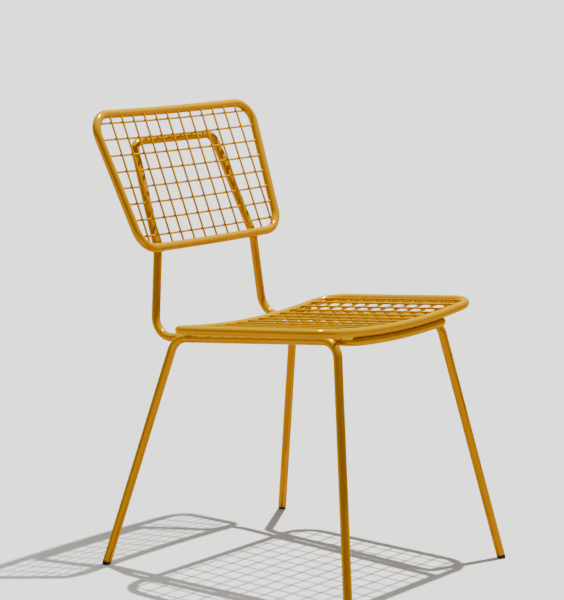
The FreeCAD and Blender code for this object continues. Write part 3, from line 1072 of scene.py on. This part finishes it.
@dataclass
class Basket:
    """Ring of tube, bowed at its two rails, with a mesh of wires in it.

    The seat and the back each work out their own panel, bows and mesh. Axis is the one that their
    straight wires mostly run along.
    """

    stock: Stock
    frames: SideFrames
    name: str = field(init=False)
    straight_name: str = field(init=False)
    axis: int = field(init=False)
    panel: Panel = field(init=False)
    length: float = field(init=False)
    first: Bow = field(init=False)
    second: Bow = field(init=False)
    mesh: Mesh = field(init=False)

    def bow(self, along: float) -> Bow:
        """Bow of the mesh at a place along the panel."""
        return self.first.between(self.second, along / self.length)

    def point(self, across: float, along: float, layer: float) -> Vector:
        """Point of the mesh, at a depth below its bow."""
        return self.panel.at(across, along, self.bow(along).depth(across) + layer)

    def ring(self) -> bpy.types.Object:
        """Bend the ring: half of it by hand, the other half as its mirror image.

        Returns:
            The ring.
        """
        steps = self.stock.bend_steps
        start = self.panel.bow_turn(self.first)
        finish = self.panel.bow_turn(self.second, self.length)
        corner = self.panel.at(self.first.half_width, 0, 0)
        far_corner = self.panel.at(self.second.half_width, self.length, 0)
        bar = self.stock.tube(f"{self.name}_ring_tube", start.start, ACROSS)
        bar.turn(start, self.stock.bow_steps)
        bar.turn(Turn.at(start.end(), corner, far_corner, self.first.straight), steps)
        bar.turn(Turn.at(corner, far_corner, finish.end(), self.second.straight), steps)
        bar.turn(finish.back(), self.stock.bow_steps)
        return completed(bar.done())

    def straight_wire(self, number: int, across: float, finishes: Finishes) -> tuple[Vector, Vector]:
        """Lay one straight wire from rail to rail.

        Args:
            number: Its number, from the left.
            across: Its place across the panel.
            finishes: Materials of the chair.

        Returns:
            Both ends of the node that it stands for.
        """
        node = f"{self.name}_{self.straight_name}_wire_{number:02d}"
        over = self.mesh.over()
        rail = self.panel.at(across, 0, self.first.depth(across) + over)
        far_rail = self.panel.at(across, self.length, self.second.depth(across) + over)
        heading = (far_rail - rail).normalized()
        limits = sorted((corner - rail)[self.axis] / heading[self.axis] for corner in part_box(node))
        start, end = (rail + heading * limit for limit in limits)
        let_in = heading * self.mesh.let_in
        wire = self.mesh.straight(f"{node}_drawn", start - let_in, end + let_in)
        finishes.dress(wire, Slot.PAINT, node)
        return start, end

    def bowed_wire(self, number: int, along: float, finishes: Finishes) -> float:
        """Lay one bowed wire across the ring.

        Args:
            number: Its number, from the first rail.
            along: Its place along the panel.
            finishes: Materials of the chair.

        Returns:
            Half the width of the node that it stands for.
        """
        node = f"{self.name}_cross_wire_{number:02d}"
        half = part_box(node)[1].x
        reach = half + self.mesh.let_in
        wire = self.mesh.bowed(f"{node}_drawn", self.panel, self.bow(along), along, reach)
        finishes.dress(wire, Slot.PAINT, node)
        return half

    def crosses(self, place: Vector, half: float, ends: tuple[Vector, Vector]) -> bool:
        """Whether two wires are both long enough to cross.

        Args:
            place: Where they would cross.
            half: Half the width of the bowed wire.
            ends: Both ends of the straight wire.

        Returns:
            Whether they do.
        """
        low, high = sorted(end[self.axis] for end in ends)
        inside = abs(place.x) < half + self.mesh.let_in - self.mesh.fuse_radius
        return inside and low < place[self.axis] < high

    def build(self, finishes: Finishes) -> None:
        """Bend the ring, set it in its place, lay the mesh and weld it.

        Args:
            finishes: Materials of the chair.
        """
        mesh = self.mesh
        ring = self.ring()
        self.panel.origin += seated(ring, f"{self.name}_ring")
        finishes.dress(ring, Slot.PAINT, f"{self.name}_ring")
        straights = {across: self.straight_wire(number, across, finishes)
                     for number, across in enumerate(mesh.straights(self.first.half_width), start=1)}
        toes = [end for ends in straights.values() for end in ends]
        crossings = []
        for number, along in enumerate(mesh.bows(self.length), start=1):
            half = self.bowed_wire(number, along, finishes)
            toes += [self.point(across, along, mesh.under()) for across in (-half, half)]
            for across, ends in straights.items():
                place = self.point(across, along, -mesh.raised)
                if self.crosses(place, half, ends):
                    crossings.append(place)
        for kind, places, radius in (("end", toes, mesh.toe_radius), ("cross", crossings, mesh.fuse_radius)):
            lumps = mesh.pressed(f"{self.name}_mesh_{kind}_welds", places, self.panel.deep, radius)
            finishes.dress(lumps, Slot.PAINT)


@dataclass
class SeatBasket(Basket):
    """Seat ring and its mesh. Its first rail is the rear one."""

    name: str = "seat"
    straight_name: str = "long"
    axis: int = 1
    half_width: float = 0.228
    depth: float = 0.3445
    rear: float = 0.1415
    corner: float = 0.048
    sag: float = 0.016

    def __post_init__(self) -> None:
        """Work out the seat's panel, still at the height of the side rails."""
        slope = (self.frames.rail_height_front - self.frames.rail_height_rear) / self.frames.rail_length
        rise = self.depth * slope
        self.length = math.hypot(self.depth, rise)
        along = Vector((0, -self.depth, rise)).normalized()
        origin = Vector((0, self.frames.middle + self.rear, self.frames.rail_height_rear))
        self.panel = Panel(origin, along, Vector((0, -along.z, along.y)))
        self.first = Bow(self.half_width, self.sag, self.corner)
        self.second = self.first
        self.mesh = Mesh(self.stock, pitch_across=0.0318, pitch_along=0.030, first_along=0.0155)


@dataclass
class BackRest(Basket):
    """Back ring and its mesh. Its first rail is the bottom one."""

    name: str = "back"
    straight_name: str = "upright"
    axis: int = 2
    length: float = 0.258
    half_top: float = 0.223
    half_bottom: float = 0.1936
    lean: float = 22.76
    bottom_rear: float = 0.2305
    bottom_height: float = 0.5783
    corner_top: float = 0.044
    corner_bottom: float = 0.037
    sag: float = 0.008

    def __post_init__(self) -> None:
        """Work out the back's panel."""
        lean = math.radians(self.lean)
        origin = Vector((0, self.frames.middle + self.bottom_rear, self.bottom_height))
        along = Vector((0, math.sin(lean), math.cos(lean)))
        self.panel = Panel(origin, along, Vector((0, math.cos(lean), -math.sin(lean))))
        self.first = Bow(self.half_bottom, self.sag, self.corner_bottom)
        self.second = Bow(self.half_top, self.sag, self.corner_top)
        self.mesh = Mesh(self.stock, pitch_across=0.0318, pitch_along=0.031, first_along=0.0235)


@dataclass
class SupportLoop:
    """One closed tube: bar behind the back mesh, uprights, runs under the seat and front rail."""

    stock: Stock
    frames: SideFrames
    seat: SeatBasket
    back: BackRest
    bar_wire: int = -2
    bar_half: float = 0.1115
    bar_drop: float = 0.003
    top_radius: float = 0.024
    waist_depth: float = 0.0191
    waist_radius: float = 0.090
    rear: float = 0.2388
    heel_height: float = 0.4126
    heel_radius: float = 0.038
    side_gap: float = 0.003
    front_setback: float = 0.004
    front_corner: float = 0.015

    def place_bar(self) -> None:
        """Place the right end of the bar, behind the last but one cross wire of the back."""
        stock, back = self.stock, self.back
        standoff = stock.tube_radius + stock.wire_radius + stock.weld_gap
        wire_depth = back.sag + stock.wire_radius + stock.weld_gap / 2
        depth = wire_depth + math.sqrt(standoff ** 2 - self.bar_drop ** 2)
        along = back.mesh.bows(back.length)[self.bar_wire] - self.bar_drop
        self.bar_end = back.panel.at(self.bar_half, along, depth)

    def place_front(self) -> None:
        """Place the front rail, concentric with the seat ring's and under it."""
        seat = self.seat
        along = seat.length - self.front_setback
        under = math.sqrt(self.stock.beside() ** 2 - self.front_setback ** 2)
        middle = seat.panel.at(0, along, seat.second.sag + under)
        half = self.frames.rail_at(middle.y).x - self.frames.beside()
        reach = math.hypot(seat.second.radius(), self.front_corner)
        slope = math.asin(half / reach) - math.atan(self.front_corner / seat.second.radius())
        sag = (half + self.front_corner) * math.tan(slope / 2)
        self.front_bow = Bow(half, sag, self.front_corner)
        origin = seat.panel.at(0, along, seat.second.sag + under - sag)
        self.front_rail = Panel(origin, seat.panel.along, seat.panel.deep)
        self.front = self.front_rail.at(half, 0, 0)

    def place_upright(self) -> None:
        """Place the heel and the waist of the right upright."""
        heel_y = self.frames.middle + self.rear
        heel_x = self.frames.rail_at(heel_y).x - self.frames.beside() - self.side_gap
        self.heel = Vector((heel_x, heel_y, self.heel_height))
        middle = self.back.panel.at(0, 0, self.waist_depth)
        share = (self.bar_end.z - middle.z) / (self.bar_end.z - self.heel.z)
        self.waist = middle + ACROSS * (self.bar_end.x * (1 - share) + self.heel.x * share)

    def build(self, finishes: Finishes) -> None:
        """Bend the loop.

        Args:
            finishes: Materials of the chair.
        """
        self.place_bar()
        self.place_front()
        self.place_upright()
        last = self.front_rail.bow_turn(self.front_bow)
        middle = self.bar_end - ACROSS * self.bar_end.x
        corners = [middle, self.bar_end, self.waist, self.heel, self.front]
        radii = [self.top_radius, self.waist_radius, self.heel_radius]
        bar = self.stock.tube("support_loop_tube", middle, ACROSS)
        for before, corner, after, radius in zip(corners, corners[1:], corners[2:], radii):
            bar.turn(Turn.of_radius(before, corner, after, radius), self.stock.bend_steps)
        bar.turn(Turn.at(self.heel, self.front, last.end(), self.front_corner), self.stock.bend_steps)
        bar.turn(last.back(), self.stock.bow_steps)
        loop = completed(bar.done())
        seated(loop, "support_loop")
        finishes.dress(loop, Slot.PAINT, "support_loop")


@dataclass
class Welds:
    """Runs of weld where the tubes lie on each other."""

    stock: Stock
    frames: SideFrames
    seat: SeatBasket
    back: BackRest
    loop: SupportLoop
    radius: float = 0.0026
    aside: float = 0.0054
    stitch: float = 0.026
    spot: float = 0.009
    rail_places: tuple[float, ...] = (0.16, 0.5, 0.84)
    front_places: tuple[float, ...] = (0.25, 0.75)
    sides: int = 12
    ripple: float = 0.0013
    rise_share: float = 0.3
    trough_share: float = 0.86
    outer_share: float = 0.75
    tip_share: float = 0.35
    runout_share: float = 0.5

    def run(self, middle: Vector, along: Vector, aside: Vector, length: float) -> bpy.types.Object:
        """One run in the valley between two tubes, with the ripples that the torch leaves.

        Args:
            middle: The point halfway between their centre lines.
            along: Which way the run goes.
            aside: Which side of the tubes it is on.
            length: Its length.

        Returns:
            The run of weld.
        """
        heading = along.normalized()
        start = middle + aside.normalized() * self.aside - heading * (length / 2)
        tip = self.radius * self.tip_share
        ripples = max(2, round(length / self.ripple))
        pitch = length / ripples
        bar = Bar("weld", start, heading, tip, self.sides, capped=True)
        for number in range(ripples):
            crest = self.radius * (self.outer_share if number in (0, ripples - 1) else 1)
            bar.flare(pitch * self.rise_share, crest)
            bar.flare(pitch * (1 - self.rise_share), crest * self.trough_share)
        return bar.flare(self.radius * self.runout_share, tip).closed().done()

    def rails(self) -> list[bpy.types.Object]:
        """Stitches between the right side rail and the loop's run beside it.

        Returns:
            The runs.
        """
        runs = []
        start, end = self.loop.heel, self.loop.front
        for share in self.rail_places:
            y = self.frames.rear_top.y + (self.frames.front_top.y - self.frames.rear_top.y) * share
            run = start.lerp(end, (y - start.y) / (end.y - start.y))
            rail = self.frames.rail_at(y)
            above = (rail - run).cross(end - start)
            runs += [self.run((rail + run) / 2, end - start, side, self.stitch) for side in (above, -above)]
        return runs

    def under_seat(self) -> list[bpy.types.Object]:
        """Welds between the right half of the seat ring and what carries it.

        Returns:
            The runs.
        """
        seat, loop = self.seat, self.loop
        runs = []
        sides = (seat.panel.along, -seat.panel.along)
        rail_y = seat.panel.origin.y
        share = (rail_y - loop.heel.y) / (loop.front.y - loop.heel.y)
        for carrier in (self.frames.rail_at(rail_y), loop.heel.lerp(loop.front, share)):
            middle = (carrier + seat.point(carrier.x, 0, 0)) / 2
            runs += [self.run(middle, ACROSS, side, self.spot) for side in sides]
        for share in self.front_places:
            across = loop.front_bow.arc_half() * share
            lower, ahead = (loop.front_rail.at(place, 0, loop.front_bow.depth(place))
                            for place in (across, across + CLOSE))
            upper = seat.point(across, seat.length, 0)
            inwards = (ahead - lower).cross(upper - lower)
            inwards = inwards if inwards.y > 0 else -inwards
            runs.append(self.run((lower + upper) / 2, ahead - lower, inwards, self.stitch))
        return runs

    def behind_back(self) -> list[bpy.types.Object]:
        """Welds between the bottom rail of the back and the right upright.

        Returns:
            The runs.
        """
        back, loop = self.back, self.loop
        upright = loop.waist - loop.bar_end
        rail = back.point(loop.waist.x, 0, 0)
        nearest = loop.waist + upright * ((rail - loop.waist).dot(upright) / upright.length_squared)
        sides = (back.panel.along, -back.panel.along)
        return [self.run((rail + nearest) / 2, ACROSS, side, self.spot) for side in sides]

    def build(self, finishes: Finishes) -> None:
        """Lay all the runs.

        Args:
            finishes: Materials of the chair.
        """
        seams = {"side_rail": self.rails, "seat_ring": self.under_seat, "back_ring": self.behind_back}
        for name, welded in seams.items():
            finishes.dress_both(joined(f"{name}_welds_right", welded()), Slot.PAINT)


# Studio


@dataclass
class Studio:
    """Pale floor, key lamp overhead, soft room round the chair, and the camera."""

    frames: SideFrames
    lamp: Lamp = field(default_factory=Lamp)
    floor_size: float = 240.0
    room_light: float = 0.62
    room_dark: float = 0.24
    room_tint: tuple[float, float, float] = (1.0, 0.93, 0.84)
    dark_until: float = -0.8
    light_from: float = 0.35
    lens: float = 139.13
    sensor: float = 36.0
    far_clip: float = 500.0
    yaw: float = -51.073
    pitch: float = 9.375
    distance: float = 3.93573
    aim_right: float = -0.052233
    aim_height: float = 0.485653

    def build(self, effects: Effects) -> None:
        """Set up the studio.

        Args:
            effects: The shared shader groups.
        """
        place = Vector((self.lamp.across, self.frames.middle + self.lamp.rearward, self.lamp.height))
        deselected()
        bpy.ops.mesh.primitive_plane_add(size=self.floor_size)
        floor = bpy.context.object
        floor.name = "studio_floor"
        floor.data.materials.append(StudioFloor(self.lamp, place[:]).material(effects))
        self.light(place)
        self.room()
        self.camera()

    def light(self, place: Vector) -> None:
        """The key: a small round lamp high over the chair's right.

        Args:
            place: Where it hangs.
        """
        bpy.ops.object.light_add(type="AREA", location=place)
        key = bpy.context.object
        key.name = "key_light"
        key.data.shape = "DISK"
        key.data.size = 2 * self.lamp.radius
        key.data.energy = self.lamp.power

    def tinted(self, level: float) -> Colour:
        """Light of the room at a level."""
        return (*(level * part for part in self.room_tint), 1.0)

    def room(self) -> None:
        """Soft light of the room, darker on the camera's side."""
        world = bpy.data.worlds.new("studio_room")
        bpy.context.scene.world = world
        world.use_nodes = True
        shader = Shader(world.node_tree)
        yaw = math.radians(self.yaw)
        ahead = Vector((-math.sin(yaw), math.cos(yaw), 0))
        given = shader.node("TexCoord").outputs["Generated"]
        facing = shader.maths("DOT_PRODUCT", given, ahead, kind="VectorMath")
        share = shader.node("MapRange", Value=facing, From_Min=self.dark_until, From_Max=self.light_from)
        dark, light = self.tinted(self.room_dark), self.tinted(self.room_light)
        colour = shader.mixed(share.outputs["Result"], dark, light)
        shader.give(world.node_tree.nodes["Background"], Color=colour)

    def camera(self) -> None:
        """Camera at the photograph's place and angle."""
        yaw, pitch = math.radians(self.yaw), math.radians(self.pitch)
        right = Vector((math.cos(yaw), math.sin(yaw), 0))
        level = Vector((-math.sin(yaw), math.cos(yaw), 0))
        ahead = level * math.cos(pitch) - Vector((0, 0, math.sin(pitch)))
        aim = Vector((0, self.frames.middle, self.aim_height)) + right * self.aim_right
        bpy.ops.object.camera_add(location=aim - ahead * self.distance,
                                  rotation=(math.pi / 2 - pitch, 0, yaw))
        camera = bpy.context.object
        camera.name = "photo_camera"
        camera.data.sensor_fit = "HORIZONTAL"
        camera.data.sensor_width = self.sensor
        camera.data.lens = self.lens
        camera.data.clip_end = self.far_clip
        bpy.context.scene.camera = camera


def main() -> None:
    """Build the chair piece by piece, and the studio round it."""
    logging.basicConfig(level=logging.INFO, format="%(name)s: %(message)s")
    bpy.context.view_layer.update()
    effects = Effects()
    finishes = Finishes(PowderCoat().material(effects), MouldedPlastic().material(effects))
    stock = Stock()
    frames = SideFrames(stock)
    frames.build(finishes)
    FootCaps(stock, frames).build(finishes)
    seat = SeatBasket(stock, frames)
    seat.build(finishes)
    back = BackRest(stock, frames)
    back.build(finishes)
    loop = SupportLoop(stock, frames, seat, back)
    loop.build(finishes)
    Welds(stock, frames, seat, back, loop).build(finishes)
    Studio(frames).build(effects)
    deselected()


if __name__ == "__main__":
    main()
